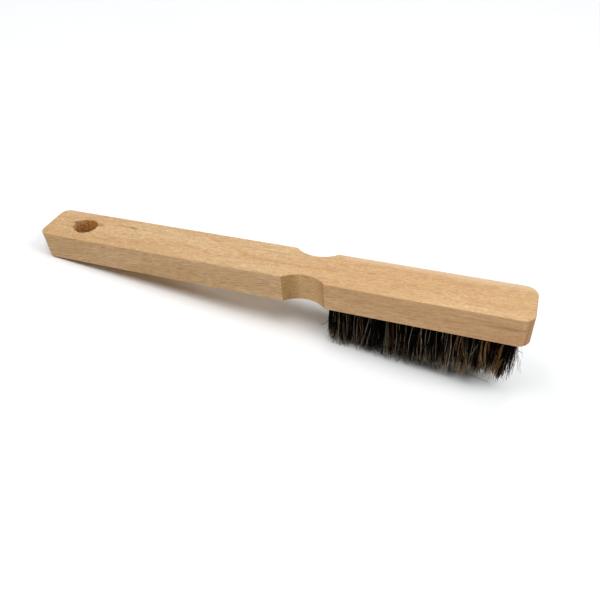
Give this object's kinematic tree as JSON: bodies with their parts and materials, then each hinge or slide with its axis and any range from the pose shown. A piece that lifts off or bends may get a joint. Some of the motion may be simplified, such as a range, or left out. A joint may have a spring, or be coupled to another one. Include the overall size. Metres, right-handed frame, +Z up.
{
  "type": "bee brush",
  "caption": "Short straight wooden bee brush with a hanging hole, a waisted finger neck and a head set with rows of soft natural-fibre tufts that bend when it sweeps.",
  "frame": {"origin": "under the middle of the block, on the plane of the tuft tips", "axes": "+Z up from the tuft tips to the block's back, +X along the block from the handle end with the hanging hole to the head, +Y across the width; the block stands on its tufts"},
  "size_m": [0.265, 0.025, 0.045],
  "materials": {
    "beech": "planed and lightly sanded, no varnish",
    "anchor_steel": "plain drawn strip",
    "fibre": "soft animal and plant fibre, mostly black with brown, tan and grey-blonde fibres"
  },
  "bodies": {
    "block": {"wood_block": "beech", "anchors_front": "anchor_steel", "anchors_middle": "anchor_steel", "anchors_rear": "anchor_steel", "root_bundles_front": "fibre", "root_bundles_middle": "fibre", "root_bundles_rear": "fibre"},
    "front_row": {"tuft_front_01": "fibre", "tuft_front_02": "fibre", "tuft_front_03": "fibre", "tuft_front_04": "fibre", "tuft_front_05": "fibre", "tuft_front_06": "fibre", "tuft_front_07": "fibre", "tuft_front_08": "fibre", "tuft_front_09": "fibre", "tuft_front_10": "fibre", "tuft_front_11": "fibre", "tuft_front_12": "fibre", "tuft_front_13": "fibre"},
    "middle_row": {"tuft_middle_01": "fibre", "tuft_middle_02": "fibre", "tuft_middle_03": "fibre", "tuft_middle_04": "fibre", "tuft_middle_05": "fibre", "tuft_middle_06": "fibre", "tuft_middle_07": "fibre", "tuft_middle_08": "fibre", "tuft_middle_09": "fibre", "tuft_middle_10": "fibre", "tuft_middle_11": "fibre", "tuft_middle_12": "fibre"},
    "rear_row": {"tuft_rear_01": "fibre", "tuft_rear_02": "fibre", "tuft_rear_03": "fibre", "tuft_rear_04": "fibre", "tuft_rear_05": "fibre", "tuft_rear_06": "fibre", "tuft_rear_07": "fibre", "tuft_rear_08": "fibre", "tuft_rear_09": "fibre", "tuft_rear_10": "fibre", "tuft_rear_11": "fibre", "tuft_rear_12": "fibre", "tuft_rear_13": "fibre"}
  },
  "joints": [
    {"name": "front_row_flex", "type": "hinge", "parent": "block", "child": "front_row", "pos_m": [0.082, -0.007, 0.029], "axis": [1, 0, 0], "range_deg": [-30, 30], "stiffness_Nm_per_rad": 0.09},
    {"name": "middle_row_flex", "type": "hinge", "parent": "block", "child": "middle_row", "pos_m": [0.082, 0, 0.029], "axis": [1, 0, 0], "range_deg": [-30, 30], "stiffness_Nm_per_rad": 0.09},
    {"name": "rear_row_flex", "type": "hinge", "parent": "block", "child": "rear_row", "pos_m": [0.082, 0.007, 0.029], "axis": [1, 0, 0], "range_deg": [-30, 30], "stiffness_Nm_per_rad": 0.09}
  ],
  "couplings": [
    {"joint": "middle_row_flex", "follows": "front_row_flex", "ratio": 1},
    {"joint": "rear_row_flex", "follows": "front_row_flex", "ratio": 1}
  ]
}
